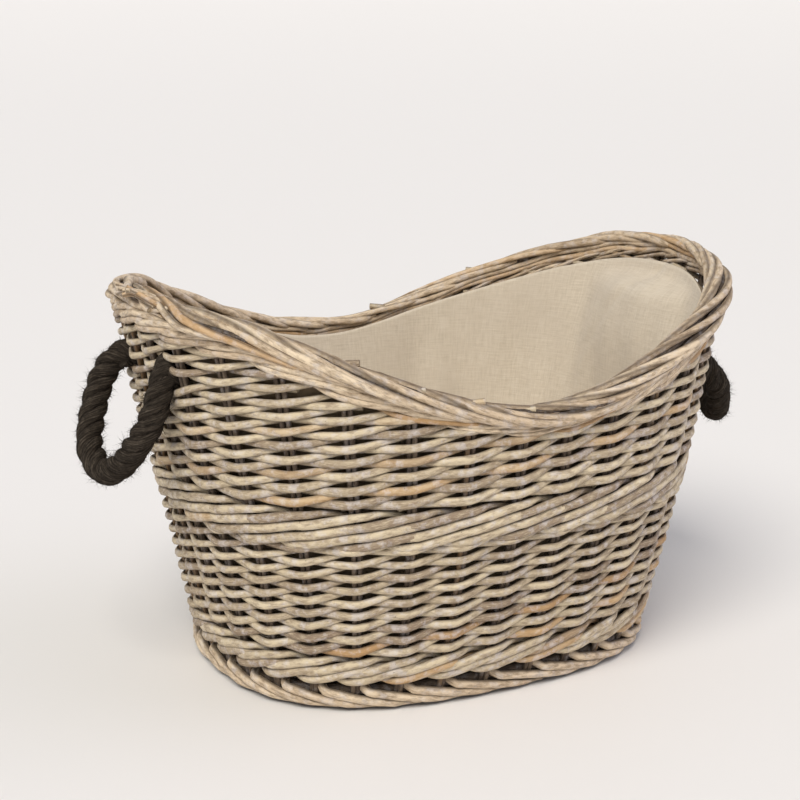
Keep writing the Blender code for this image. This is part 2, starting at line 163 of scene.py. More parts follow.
def half_length(z):
    return BASE_HALF_LENGTH + END_LEAN * z + END_CURVE * z * z - END_DRAWN_IN * drawn_in(z)


def half_width(z):
    return BASE_HALF_WIDTH + SIDE_LEAN * z + SIDE_CURVE * z * z - SIDE_DRAWN_IN * drawn_in(z)


def oval(angle, z):
    """Points of the middle surface, for arrays of angles and heights."""
    share = np.minimum(z / SQUARENESS_TOP, 1.2)
    power = 2 / (BASE_SQUARENESS + (RIM_SQUARENESS - BASE_SQUARENESS) * share)
    c, s = np.cos(angle), np.sin(angle)
    x = half_length(z) * np.sign(c) * np.abs(c) ** power
    x = x + LEFT_PULLED_IN * smooth(0.22, 0.32, z) * smooth(0.2, 1.0, -c)
    y = half_width(z) * np.sign(s) * np.abs(s) ** power
    return np.stack([x, y, z + 0 * x], axis=-1)


def unit(v):
    return v / np.maximum(np.linalg.norm(v, axis=-1, keepdims=True), 1e-12)


def lengths_along(path):
    """How far along a path each of its points is."""
    return np.concatenate([[0], np.cumsum(np.linalg.norm(np.diff(path, axis=0), axis=1))])


def wall(angle, z, out=0.0):
    """(points at a distance out from the middle surface, the surface's outward normals)."""
    angle, z, out = np.broadcast_arrays(angle, z, out)
    around = oval(angle + STEP, z) - oval(angle - STEP, z)
    upwards = oval(angle, z + STEP) - oval(angle, z - STEP)
    normal = unit(np.cross(around, upwards))
    return oval(angle, z) + normal * out[..., None], normal


def smooth(low, high, x):
    t = np.clip((x - low) / (high - low), 0, 1)
    return t * t * (3 - 2 * t)


def rim_height(angle):
    def rise(cosine):
        return (cosine**2 + RIM_SOFTNESS**2) ** (RIM_POWER / 2)

    share = (rise(np.cos(angle)) - rise(0)) / (rise(1) - rise(0))
    dropped = LEFT_TIP_DROP * smooth(0.80, 1.0, -np.cos(angle))
    return RIM_MIDDLE + (RIM_END - RIM_MIDDLE) * share - dropped


_angles = np.linspace(0, 2 * math.pi, 4097)
_ring = oval(_angles, np.full_like(_angles, ARC_LEVEL))
_arcs = lengths_along(_ring)
PITCH = _arcs[-1] / STAKES


def angle_at(place):
    """The angle of a place counted in stakes; the +X end is half way between two stakes."""
    place = np.asarray(place, float) + 0.5
    turns = np.floor(place / STAKES)
    return np.interp((place - turns * STAKES) * PITCH, _arcs, _angles) + turns * 2 * math.pi


def constant(height):
    """The same height all the way round, as siding and wale take it."""
    return lambda angle: height + 0 * angle


def top_wale_height(angle):
    return TOP_WALE_MIDDLE + (TOP_WALE_END - TOP_WALE_MIDDLE) * smooth(0.05, 0.6, np.abs(np.cos(angle)))


def siding_top(angle):
    return rim_height(angle) - BORDER_BELOW_RIM - top_wale_height(angle)


def wander(count, step, size):
    """A smooth random walk round zero, one value a point."""
    knots = rng.normal(0, size, max(4, int(count / step) + 3))
    x = np.linspace(1, len(knots) - 2, count)
    i = x.astype(int)
    t = x - i
    t = t * t * (3 - 2 * t)
    return knots[i] * (1 - t) + knots[np.minimum(i + 1, len(knots) - 1)] * t


# ---- rods


class Rods:
    """Many tubes in one mesh. Each point keeps what its rod looks like: how warm, how pale, and where it is cut."""

    def __init__(self):
        self.points, self.quads, self.tris, self.looks, self.uvs = [], [], [], [], []
        self.count = 0

    def add(
        self, path, normal, radius_out, radius_side, sides=8, ends=("cut", "cut"), warmth=None, shade=None, relief=1.0
    ):
        """A tube along path. Its section is radius_out along normal and radius_side across it."""
        n = len(path)
        ahead = unit(np.gradient(path, axis=0))
        out = unit(normal - (normal * ahead).sum(-1, keepdims=True) * ahead)
        side = np.cross(ahead, out)
        length = lengths_along(path)
        uneven = 1 + wander(n, 6, 0.025)
        for _ in range(rng.poisson(length[-1] / 0.11)):
            uneven += 0.10 * np.exp(-(((length - rng.uniform(0, length[-1])) / 0.0022) ** 2))
        radius_out = np.broadcast_to(radius_out, n) * uneven
        radius_side = np.broadcast_to(radius_side, n) * uneven
        turn = np.arange(sides) * 2 * math.pi / sides
        ring = (
            path[:, None]
            + out[:, None] * (np.cos(turn)[None, :] * radius_out[:, None] * relief)[:, :, None]
            + side[:, None] * (np.sin(turn)[None, :] * radius_side[:, None] * relief)[:, :, None]
        )
        first = self.count
        self.points.append(ring.reshape(-1, 3))
        i = np.arange(n - 1)[:, None] * sides
        j = np.arange(sides)[None, :]
        k = (j + 1) % sides
        self.quads.append(np.stack([i + j, i + k, i + sides + k, i + sides + j], axis=-1).reshape(-1, 4) + first)
        warmth = rng.random() if warmth is None else warmth
        shade = rng.random() if shade is None else shade
        look = np.tile([warmth, shade, 0.0, 1.0], (n * sides, 1))
        offset = rng.uniform(0, 50)
        uv = np.stack(np.broadcast_arrays((j / sides), (length[:, None] + offset)), axis=-1).reshape(-1, 2)
        self.count += n * sides
        for at, sense, kind in ((0, -1, ends[0]), (n - 1, 1, ends[1])):
            cut = kind == "cut"
            centre = path[at] + ahead[at] * sense * (CUT_REACH if cut else SOFT_REACH)
            self.points.append(centre[None])
            look = np.vstack([look, (warmth, shade, 1 if cut else 0, 1)])
            uv = np.vstack([uv, (0.5, length[at] + offset)])
            rim = first + at * sides + np.arange(sides)
            following = np.roll(rim, -1)
            pair = (following, rim) if sense < 0 else (rim, following)
            self.tris.append(np.stack([*pair, np.full(sides, self.count)], axis=-1))
            self.count += 1
        self.looks.append(look)
        self.uvs.append(uv)

    def build(self, name, finish):
        points = np.vstack(self.points)
        quads = np.vstack(self.quads)
        tris = np.vstack(self.tris)
        mesh = bpy.data.meshes.new(name)
        mesh.vertices.add(len(points))
        mesh.vertices.foreach_set("co", points.ravel())
        loops = np.concatenate([quads.ravel(), tris.ravel()])
        mesh.loops.add(len(loops))
        mesh.loops.foreach_set("vertex_index", loops)
        starts = np.concatenate([np.arange(len(quads)) * 4, len(quads) * 4 + np.arange(len(tris)) * 3])
        mesh.polygons.add(len(starts))
        mesh.polygons.foreach_set("loop_start", starts)
        mesh.update(calc_edges=True)
        mesh.validate()
        looks = mesh.attributes.new("look", "FLOAT_COLOR", "POINT")
        looks.data.foreach_set("color", np.vstack(self.looks).ravel())
        uv = np.vstack(self.uvs)[loops]
        # The last face round a rod runs on to 1 and not back to 0
        corner = uv[: len(quads) * 4].reshape(-1, 4, 2)
        wraps = corner[:, :, 0].max(axis=1) - corner[:, :, 0].min(axis=1) > 0.5
        corner[wraps, :, 0] = np.where(corner[wraps, :, 0] < 0.25, corner[wraps, :, 0] + 1, corner[wraps, :, 0])
        layer = mesh.uv_layers.new(name="rod")
        layer.data.foreach_set("uv", uv.ravel())
        return finished(bpy.data.objects.new(name, mesh), finish)


def finished(obj, finish):
    """Puts a new mesh object in the scene, with its material and smooth shading."""
    bpy.context.scene.collection.objects.link(obj)
    obj.data.materials.append(finish)
    obj.data.shade_smooth()
    obj.data.set_sharp_from_angle(angle=SHARP_FROM)
    return obj


# ---- materials


def shader(name, roughness, specular, sheen=0.0):
    made = bpy.data.materials.new(name)
    made.use_nodes = True
    nodes = made.node_tree.nodes
    principled = nodes["Principled BSDF"]
    principled.inputs["Roughness"].default_value = roughness
    principled.inputs["Specular IOR Level"].default_value = specular
    principled.inputs["Sheen Weight"].default_value = sheen
    return made, made.node_tree, principled


class Graph:
    """Short ways to add nodes to a material."""

    def __init__(self, tree):
        self.tree = tree

    def node(self, kind, inputs=None, **settings):
        made = self.tree.nodes.new(kind)
        for key, value in settings.items():
            setattr(made, key, value)
        for key, value in (inputs or {}).items():
            self.feed(made.inputs[key], value)
        return made

    def feed(self, socket, value):
        """Links another node's output to the socket, or gives it a plain value."""
        if isinstance(value, bpy.types.NodeSocket):
            self.tree.links.new(value, socket)
        else:
            socket.default_value = value

    def noise(self, vector, scale, detail=3, roughness=0.5):
        return self.node(
            "ShaderNodeTexNoise", {"Vector": vector, "Scale": scale, "Detail": detail, "Roughness": roughness}
        ).outputs["Fac"]

    def stretch(self, vector, scale):
        return self.node("ShaderNodeMapping", {"Vector": vector, "Scale": scale}).outputs["Vector"]

    def math(self, operation, a, b=0.0, clamp=False):
        made = self.node("ShaderNodeMath", operation=operation, use_clamp=clamp)
        self.feed(made.inputs[0], a)
        self.feed(made.inputs[1], b)
        return made.outputs[0]

    def ramp(self, fac, *stops):
        made = self.node("ShaderNodeValToRGB", {"Fac": fac})
        elements = made.color_ramp.elements
        while len(elements) < len(stops):
            elements.new(0.5)
        for element, (place, colour) in zip(elements, stops):
            element.position = place
            element.color = (*colour, 1)
        return made.outputs["Color"]

    def rise(self, fac, low, high, most=1.0, least=0.0):
        """A ramp from least, where fac is low, to most, where it is high."""
        return self.ramp(fac, (low, (least, least, least)), (high, (most, most, most)))

    def mix(self, fac, a, b, blend="MIX"):
        made = self.node("ShaderNodeMix", data_type="RGBA", blend_type=blend)
        for key, value in ((0, fac), (6, a), (7, b)):
            self.feed(made.inputs[key], (*value, 1) if isinstance(value, tuple) else value)
        return made.outputs[2]

    def bump(self, height, strength, distance):
        inputs = {"Height": height, "Strength": strength, "Distance": distance}
        return self.node("ShaderNodeBump", inputs).outputs["Normal"]


WARM_BARK, SPECK, CUT_WOOD = (0.52, 0.30, 0.12), (0.05, 0.035, 0.025), (0.42, 0.33, 0.21)


def willow(name, pale, mid, dark, wash, wash_amount, crevice_shade_and_stain):
    """Washed willow: rods that differ, streaks and dark specks along each, and a chalky wash that has caught here and
    there.
    Each rod's two sides are darkened with painted shade, where its neighbours shade it, together with the stain that
    collects there. wash_amount and the last argument are how strong the wash and that painted shade and stain are."""
    made, tree, principled = shader(name, 0.62, 0.25)
    g = Graph(tree)
    look = g.node("ShaderNodeVertexColor", layer_name="look")
    parts = g.node("ShaderNodeSeparateColor", {"Color": look.outputs["Color"]})
    warmth, shade, cut = parts.outputs[0], parts.outputs[1], parts.outputs[2]
    uv = g.node("ShaderNodeUVMap", uv_map="rod").outputs["UV"]
    position = g.node("ShaderNodeNewGeometry").outputs["Position"]
    streak = g.noise(g.stretch(uv, (5, 90, 1)), 1.0, 5, 0.6)
    fine = g.noise(g.stretch(uv, (22, 160, 1)), 1.0, 4, 0.65)
    patch = g.noise(g.stretch(uv, (1.5, 26, 1)), 1.0, 3, 0.5)
    base = g.ramp(shade, (0.0, dark), (0.35, mid), (1.0, pale))
    base = g.mix(g.rise(streak, 0.44, 0.62, 0.72), base, dark)
    base = g.mix(g.rise(fine, 0.48, 0.66, 0.6), base, pale)
    orange = g.math("MULTIPLY", g.rise(warmth, 0.91, 0.98), patch)
    base = g.mix(g.math("MULTIPLY", orange, 1.1, True), base, WARM_BARK)
    washed = g.rise(g.noise(position, 120, 4, 0.65), 0.50, 0.64)
    base = g.mix(g.math("MULTIPLY", washed, wash_amount), base, wash)
    specks = g.noise(g.stretch(uv, (9, 420, 1)), 1.0, 2, 0.5)
    base = g.mix(g.rise(specks, 0.70, 0.76, 0.55), base, SPECK)
    # Painted shade, with some stain: each rod is darker at both its sides, where the rods shade each other; the dark
    # bands sit a little off centre
    round_rod = g.node("ShaderNodeSeparateXYZ", {"Vector": uv}).outputs["X"]
    turned = g.math("FRACT", g.math("MULTIPLY", g.math("ADD", round_rod, 0.03), 2.0))
    aside = g.math("SUBTRACT", 0.5, g.math("ABSOLUTE", g.math("SUBTRACT", turned, 0.5)))
    base = g.mix(g.rise(aside, 0.22, 0.46, crevice_shade_and_stain), base, tuple(0.35 * part for part in dark))
    base = g.mix(cut, base, CUT_WOOD)
    tree.links.new(base, principled.inputs["Base Color"])
    tree.links.new(g.rise(streak, 0.3, 0.7, 0.78, 0.52), principled.inputs["Roughness"])
    ridge = g.math("ADD", g.math("MULTIPLY", streak, 0.6), fine)
    tree.links.new(g.bump(ridge, 0.7, 0.0009), principled.inputs["Normal"])
    return made


def linen(name, shade_tone=1.0):
    """Plain linen; a tone below 1 darkens and browns it: painted shade for the liner's outer side, which is only seen
    in shadow through the weave.
    """
    made, tree, principled = shader(name, 0.92, 0.15, 0.25)
    g = Graph(tree)
    uv = g.node("ShaderNodeUVMap", uv_map="cloth").outputs["UV"]
    # A wave texture has a band every 2 pi / 20 of a unit at scale 1
    threads = {"Vector": uv, "Scale": 2 * math.pi / 20 / THREAD, "Distortion": 1.6, "Detail": 2.0}
    warp = g.node("ShaderNodeTexWave", threads, bands_direction="X").outputs["Fac"]
    weft = g.node("ShaderNodeTexWave", threads, bands_direction="Y").outputs["Fac"]
    slub_a = g.noise(g.stretch(uv, (700, 60, 1)), 1.0, 3, 0.6)
    slub_b = g.noise(g.stretch(uv, (60, 700, 1)), 1.0, 3, 0.6)
    slub = g.math("MULTIPLY", g.math("ADD", slub_a, slub_b), 0.5)
    blotch = g.noise(uv, 9, 4, 0.55)
    base = g.ramp(slub, (0.32, (0.51, 0.44, 0.34)), (0.5, (0.61, 0.53, 0.42)), (0.68, (0.69, 0.615, 0.505)))
    base = g.mix(g.rise(blotch, 0.42, 0.7, 0.6), base, (0.53, 0.455, 0.365))
    base = g.mix(0.09, base, g.mix(warp, (0.52, 0.45, 0.35), (0.80, 0.73, 0.62)))
    # Painted shade: the outer side is darkened and browned for the shadow it lies in behind the weave
    if shade_tone < 1:
        base = g.mix(1.0, base, (shade_tone, shade_tone * 0.86, shade_tone * 0.68), "MULTIPLY")
    tree.links.new(base, principled.inputs["Base Color"])
    height = g.math("ADD", g.math("MULTIPLY", warp, weft), g.math("MULTIPLY", slub, 2.2))
    tree.links.new(g.bump(height, 0.35, 0.0005), principled.inputs["Normal"])
    return made


def rope_fibre(name, dark, mid, pale):
    made, tree, principled = shader(name, 0.9, 0.12)
    g = Graph(tree)
    look = g.node("ShaderNodeVertexColor", layer_name="look")
    parts = g.node("ShaderNodeSeparateColor", {"Color": look.outputs["Color"]})
    uv = g.node("ShaderNodeUVMap", uv_map="rod").outputs["UV"]
    yarn = g.noise(g.stretch(uv, (26, 60, 1)), 1.0, 4, 0.7)
    fine = g.noise(g.stretch(uv, (90, 240, 1)), 1.0, 3, 0.6)
    base = g.ramp(yarn, (0.32, dark), (0.52, mid), (0.74, pale))
    base = g.mix(g.rise(fine, 0.55, 0.8, 0.7), base, pale)
    cut = parts.outputs[2]
    base = g.mix(g.math("MULTIPLY", cut, 0.6), base, pale)
    tree.links.new(base, principled.inputs["Base Color"])
    tree.links.new(g.bump(g.math("ADD", yarn, fine), 0.8, 0.0012), principled.inputs["Normal"])
    return made


WEAVE = willow(
    "weave_willow",
    pale=(0.67, 0.565, 0.395),
    mid=(0.54, 0.445, 0.305),
    dark=(0.25, 0.18, 0.125),
    wash=(0.68, 0.65, 0.67),
    wash_amount=0.42,
    crevice_shade_and_stain=0.65,
)
BORDER = willow(
    "border_willow",
    pale=(0.74, 0.605, 0.435),
    mid=(0.58, 0.45, 0.31),
    dark=(0.22, 0.15, 0.095),
    wash=(0.66, 0.63, 0.63),
    wash_amount=0.34,
    crevice_shade_and_stain=0.72,
)
# The stakes' browns are kept dark: partly their own colour, partly painted shade for the gaps in the weave where they
# show
STAKE = willow(
    "stake_willow",
    pale=(0.24, 0.18, 0.125),
    mid=(0.15, 0.11, 0.08),
    dark=(0.07, 0.05, 0.036),
    wash=(0.46, 0.45, 0.47),
    wash_amount=0.3,
    crevice_shade_and_stain=0.5,
)
LINEN = linen("linen")
# The liner's outer side, with painted shade
LINEN_BACK_PAINTED_SHADE = linen("linen_back_painted_shade", 0.42)
ROPE = rope_fibre("rope_fibre", (0.008, 0.006, 0.0045), (0.036, 0.028, 0.021), (0.135, 0.110, 0.085))
TWINE = rope_fibre("binding_twine", (0.10, 0.07, 0.045), (0.20, 0.15, 0.10), (0.34, 0.27, 0.19))

# ---- the weave


def triangle(x):
    """1 at even x, -1 at odd x, with the corners a little rounded."""
    return np.arcsin(0.985 * np.cos(math.pi * x)) / math.asin(0.985)


def round_the_rope(angle, height):
    """Heights moved up or down to leave room for the rope where it passes through the wall."""
    y = oval(angle, height)[..., 1]
    moved = height.copy()
    for side in (-1, 1):
        for end in (-1, 1):
            far_off = 9.0 * (np.cos(angle) * end < 0.5)  # keeps the sides and the other end out of it
            across = np.abs(y - side * HOLE_Y) + far_off
            nearest = np.argmin(across)
            if across[nearest] > 0.02:
                continue
            above = height[nearest] - (HANDLE_Z - 0.006)
            push = math.copysign(HOLE_PUSH * math.exp(-abs(above) / 0.013), above)
            moved += push * np.exp(-((across / 0.017) ** 2))
    return moved


def siding_rod(rods, start, bottom, first, last):
    """The part from first to last of a rod of French randing, which is at the level bottom behind the stake start."""
    places = np.linspace(first, last, max(4, int((last - first) * STEPS) + 1))
    x = places - start
    angle = angle_at(places)
    height = bottom + CLIMB * (x + KINK * triangle(x))
    swing = -np.arcsin(0.955 * np.cos(math.pi * x)) / math.asin(0.955)
    taper = 1.05 - 0.012 * x
    swing = swing * SWING + wander(len(places), 9, 0.00022)
    height = round_the_rope(angle, height)
    path, normal = wall(angle, height + wander(len(places), 9, 0.00035), swing)
    thin = 1 - 0.24 * (0.5 + 0.5 * np.cos(math.pi * (x + 0.15)))
    rods.add(path, normal, ROD_OUT * taper, ROD_UP * taper * thin)


def siding(name, bottom, top_of):
    """French randing from the level bottom up to top_of(angle). A rod that meets the top ends behind a stake there."""
    rods = Rods()
    most = int((RIM_END - bottom) / CLIMB) + 1
    for start in range(-most, STAKES):
        x = np.arange(0, most + 1)
        room = top_of(angle_at(start + x)) - (bottom + CLIMB * x)
        inside = room > -CLIMB * 0.3
        run = None
        for i in range(len(x) + 1):
            good = i < len(x) and inside[i]
            if good and run is None:
                run = i
            if not good and run is not None:
                first, last = run, i - 1
                run = None
                # Rods are counted once: those whose first stake is in the first turn
                if last - first < 1 or not 0 <= start + first < STAKES:
                    continue
                # It starts and ends at an even place, where it is behind a stake
                first -= first % 2
                last += last % 2
                siding_rod(rods, start, bottom, start + first - 0.25, start + last + 0.25)
    return rods.build(name, WEAVE)


def wale(name, bottom_of, height_of, rounds, finish):
    """Three-rod waling: each rod passes over two stakes and behind one, and the three take turns."""
    rods = Rods()
    for i in range(3):
        places = np.linspace(i, i + STAKES * rounds, int(STAKES * rounds * STEPS) + 1)
        # Each rod is pieced: it runs out and another takes over behind a stake
        for start in range(i, i + STAKES * rounds, WALE_PIECE):
            part = places[(places >= start - PIECE_OVERLAP) & (places <= start + WALE_PIECE + PIECE_OVERLAP)]
            if len(part) < 8:  # too short to see
                continue
            phase = part - i
            angle = angle_at(part)
            turn = 2 * math.pi * phase / 3
            swing = np.tanh(2.2 * (0.25 - np.cos(turn))) * (STAKE_ROD + ROD_OUT - 0.0002)
            height = height_of(angle)
            layer = height / (2 * rounds)
            base = bottom_of(angle) + layer * 0.95
            climb = (height - 2 * layer) * phase / (STAKES * rounds)
            within = -layer * 0.78 * np.sin(turn)
            path, normal = wall(angle, base + climb + within + wander(len(part), 9, 0.0003), swing)
            fat = 0.88 - 0.20 * np.cos(turn)
            rods.add(path, normal, ROD_OUT * (0.9 + 0.1 * fat), np.minimum(ROD_UP, layer * 0.60) * fat)
    return rods.build(name, finish)


def stakes():
    rods = Rods()
    for stake in range(STAKES):
        for side in (-1, 1):
            top = rim_height(angle_at(stake + side * PAIR_GAP / PITCH)) - STAKE_BELOW_RIM
            z = np.linspace(STAKE_FOOT, top, STAKE_POINTS)
            spread = side * PAIR_GAP / PITCH * (1 + 0.06 * rng.normal())
            angle = angle_at(stake + spread + wander(STAKE_POINTS, 9, 0.006))
            path, normal = wall(angle, z, wander(STAKE_POINTS, 9, 0.0002))
            rods.add(path, normal, STAKE_ROD, STAKE_ROD)
    return rods.build("stakes_woven_in", STAKE)


# ---- borders


def border_place(place, theta, lift=0.0):
    """A point of the rim border's section: theta 0 is its outer edge, 90 its top and 180 its inner edge."""
    angle = angle_at(place)
    height = rim_height(angle)
    centre = oval(angle, height)
    along = unit(oval(angle + STEP, rim_height(angle + STEP)) - oval(angle - STEP, rim_height(angle - STEP)))
    out = unit(np.cross(along, UP))
    up = np.cross(out, along)
    tip = smooth(0.93, 1.0, -np.cos(angle))
    size = 1 - LEFT_TIP_THINNER * tip
    centre = centre - out * (LEFT_TIP_IN * tip)[:, None]
    a = (BORDER_ALONG * size + lift) * np.cos(theta)
    b = (BORDER_ACROSS * size + lift) * np.sin(theta)
    sideways = a * math.cos(BORDER_TILT) + b * math.sin(BORDER_TILT)
    upwards = b * math.cos(BORDER_TILT) - a * math.sin(BORDER_TILT)
    return centre + out * sideways[:, None] + up * upwards[:, None], centre


def rim_border():
    """A rod from each stake, laid round the border's section and along it over the ones before."""
    rods = Rods()
    for stake in range(STAKES):
        run = BORDER_RUN + rng.normal(0, 0.35)
        n = int(run * 12)
        x = np.linspace(0, 1, n)
        turned = BORDER_START - BORDER_TURN * x + rng.normal(0, 5)
        theta = np.radians(turned + 9 * np.sin(2 * math.pi * (1.5 * x + rng.random())))
        sunk = -0.0030 * (1 - smooth(0, 0.07, x)) - 0.0045 * smooth(0.90, 1, x) + 0.0009 * rng.normal()
        path, centre = border_place(stake + 0.15 + x * run, theta, sunk + wander(n, 16, 0.0010))
        radius = BORDER_ROD * rng.uniform(0.82, 1.14)
        radius = radius * (0.45 + 0.55 * smooth(0, 0.08, x)) * (1 - 0.35 * smooth(0.6, 1, x))
        rods.add(path, path - centre, radius, radius, sides=10, shade=0.2 + 0.8 * rng.random())
    return rods.build("rim_border_rods", BORDER)


def rim_core():
    """The stakes' bent-over parts deep in the border, which fill it."""
    rods = Rods()
    for k in range(4):
        theta = np.radians(45 + 90 * k)
        places = np.linspace(0, STAKES, STAKES * 6 + 1)
        path, centre = border_place(places, np.full(len(places), theta), -CORE_DEPTH)
        # The darkest tone: painted shade deep inside the border, between its rods
        rods.add(path, path - centre + 1e-6, CORE_ROD, CORE_ROD, shade=0.0)
    return rods.build("rim_border_core", STAKE)


def rim_followers():
    """Rods that run along under the border's inner side, above the top wale, and fill what would be a gap."""
    rods = Rods()
    for inwards, down in ((0.0062, 0.0025), (0.0046, 0.0072), (-0.0030, 0.0070)):
        for k in range(4):
            places = np.linspace(k * 8 - 0.6, k * 8 + 8.4, 9 * STEPS)
            tucked = smooth(0, 0.9, places - places[0]) * smooth(0, 0.9, places[-1] - places)
            angle = angle_at(places)
            centre, normal = wall(angle, rim_height(angle) - down, -inwards * tucked)
            wave = 0.0011 * np.sin(2 * math.pi * (places / 1.5 + k / 4 + inwards * 90))
            path = centre + UP * (wave + wander(len(places), 12, 0.0005))[:, None]
            rods.add(path, normal, 0.0027, 0.0028, shade=rng.uniform(0.15, 0.75))
    return rods.build("rim_followers", BORDER)


def tip_ends():
    """The bunch of cut ends where the border's last rods finish at the left tip."""
    rods = Rods()
    tip = oval(angle_at(TIP_PLACE), rim_height(angle_at(TIP_PLACE)))
    t = np.linspace(0, 1, TIP_POINTS)[:, None]
    for k in range(TIP_RODS):
        place = 15.95 + 0.75 * rng.random()
        start, _ = border_place(np.array([place]), np.radians(np.array([rng.uniform(35, 130)])), -0.0008)
        across = (k - TIP_RODS // 2) * 0.0024 + rng.normal(0, 0.0008)
        beyond = 0.0075 + 0.0030 * rng.random() - 0.10 * abs(across)
        end = tip + np.array([-beyond, across - 0.002, rng.uniform(0.001, 0.0115)])
        middle = tip + np.array([0.0010, across * 0.7 - 0.006, rng.uniform(0.006, 0.0100)])
        path = start[0] * (1 - t) ** 2 + 2 * middle * t * (1 - t) + end * t**2
        thick = rng.uniform(0.0014, 0.0024)
        rods.add(path, np.tile(UP, (TIP_POINTS, 1)), thick, thick, sides=10, shade=0.3 + 0.6 * rng.random())
    return rods.build("left_tip_cut_ends", BORDER)


def foot_border():
    """A rod from each stake, bent out below the lower wale and laid down along the foot to a point."""
    rods = Rods()
    for stake in range(STAKES):
        run = FOOT_RUN + rng.normal(0, 0.12)
        n = int(run * 14)
        x = np.linspace(0, 1, n)
        bend = smooth(0, 0.10, x)
        height = FOOT_TOP - FOOT_START - FOOT_FALL * np.clip((x - 0.04) / 0.96, 0, 1) ** 0.9
        out = -0.0045 + 0.0090 * bend + 0.0018 * smooth(0.1, 0.5, x) - 0.0025 * smooth(0.7, 1, x)
        radius = FOOT_ROD * (1 - 0.15 * x - 0.55 * smooth(0.6, 1, x))
        height = np.maximum(height, radius * 1.02)
        path, normal = wall(angle_at(stake + 0.1 + x * run), height, out)
        rods.add(path, normal, radius, radius, sides=10, shade=0.45 + 0.55 * rng.random())
    return rods.build("foot_border_rods", BORDER)


def foot_core():
    """Two rings of rod behind the foot border, which fill it."""
    rods = Rods()
    places = np.linspace(0, STAKES, STAKES * 6 + 1)
    for height, out in ((0.0065, -0.003), (0.0145, -0.004)):
        path, normal = wall(angle_at(places), np.full(len(places), height), out)
        # A dark tone: painted shade in the hollow behind the foot border
        rods.add(path, normal, 0.0045, 0.0045, shade=0.1)
    return rods.build("foot_border_core", STAKE)


def rides(piece, body, slot, *nodes):
    """Says which body a piece moves with, and the CAD nodes that it stands for, which are hidden. slot is not used."""
    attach(piece, body)
    if nodes:
        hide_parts(*nodes)


# ---- the rope handles


def smooth_route(points, steps):
    """Points on a Catmull-Rom curve through the given ones."""
    points = np.array(points)
    ends = np.vstack([points[0] * 2 - points[1], points, points[-1] * 2 - points[-2]])
    made = []
    for a, b, c, d in zip(ends, ends[1:], ends[2:], ends[3:]):
        t = np.linspace(0, 1, steps, endpoint=False)[:, None]
        made.append((b * 2 + (c - a) * t + (a * 2 - b * 5 + c * 4 - d) * t**2 + (b * 3 - a - c * 3 + d) * t**3) / 2)
    return np.vstack(made + [points[-1:]])


def even(path, step):
    """A path's points again, step apart, and how far along it each one is."""
    length = lengths_along(path)
    at = np.linspace(0, length[-1], int(length[-1] / step) + 1)
    return np.stack([np.interp(at, length, path[:, i]) for i in range(3)], axis=-1), at


def carried_frame(path, first):
    """Normals along a path that turn with it and don't spin round it."""
    ahead = unit(np.gradient(path, axis=0))
    normals = [unit(first - np.dot(first, ahead[0]) * ahead[0])]
    for direction in ahead[1:]:
        normals.append(unit(normals[-1] - np.dot(normals[-1], direction) * direction))
    normal = np.array(normals)
    return ahead, normal, np.cross(ahead, normal)


def rope(name, route, radius=ROPE_RADIUS, flat=1.0):
    """A rope of three twisted strands, each of spun yarns. flat presses it along x. Gives the piece, its hairs, the
    rope's middle line and its length."""
    path, at = even(route, 0.0011)
    ahead, normal, side = carried_frame(path, np.array([0.3, 0.1, 1.0]))
    strand_radius = radius * 0.515
    strands = Rods()
    hairs = Rods()
    around = np.arange(STRAND_SIDES) * 2 * math.pi / STRAND_SIDES
    for k in range(3):
        spin = 2 * math.pi * (at / ROPE_LAY + k / 3)
        outwards = np.cos(spin)[:, None] * normal + np.sin(spin)[:, None] * side
        centre = path + outwards * (radius - strand_radius)
        centre[:, 0] = path[:, 0] + (centre[:, 0] - path[:, 0]) * flat
        yarns = YARNS * (around[None, :] + 2 * math.pi * at[:, None] / YARN_LAY)
        relief = 1 + 0.055 * np.cos(yarns) + 0.03 * np.cos(yarns * 0.5 + 2.0)
        relief = relief + rng.normal(0, 0.022, relief.shape)
        fat = strand_radius * (1 + wander(len(at), 16, 0.03))
        strands.add(
            centre, outwards, fat, fat * 1.02, sides=STRAND_SIDES, shade=0.5, relief=relief, ends=("soft", "soft")
        )
        for _ in range(int(at[-1] * HAIRS_A_METRE)):
            i = rng.integers(2, len(at) - 2)
            tilt = rng.uniform(-1.9, 1.9)
            away = unit(outwards[i] * math.cos(tilt) + np.cross(ahead[i], outwards[i]) * math.sin(tilt))
            lean = unit(away * rng.uniform(0.35, 1.0) + ahead[i] * rng.normal(0, 0.8) + rng.normal(0, 0.25, 3))
            bend = unit(rng.normal(0, 1, 3))
            size = rng.uniform(0.0016, 0.0056)
            t = np.linspace(0, 1, 4)[:, None]
            hair = centre[i] + away * strand_radius * 0.97 + (lean * t + bend * 0.35 * t**2) * size
            thin = np.array([0.00016, 0.00014, 0.00010, 0.00003])
            hairs.add(hair, np.cross(lean, bend) + 1e-6, thin, thin, sides=3, ends=("hair", "hair"), warmth=0, shade=0)
    return strands.build(name, ROPE), hairs.build(name + "_hairs", ROPE), path, float(at[-1])


def rope_handle(side, sign):
    swung, longer = (RIGHT_SWUNG_OUT, RIGHT_LONGER) if sign > 0 else (0.0, 1.0)
    # The hinge's 0 is where the loop hangs, so the right one's route is turned out already
    points = []
    for out, y, up in HANDLE_ROUTE:
        further = out * math.cos(swung) - up * math.sin(swung)
        higher = up * math.cos(swung) + out * math.sin(swung)
        points.append((sign * (HINGE_X + further * longer), y, HANDLE_Z + higher * longer))
    route = smooth_route(points, 24)
    piece, hairs, path, length = rope(f"rope_loop_{side}", route)
    for made in (piece, hairs):
        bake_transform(made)
    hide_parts(f"rope_handle_{side}")


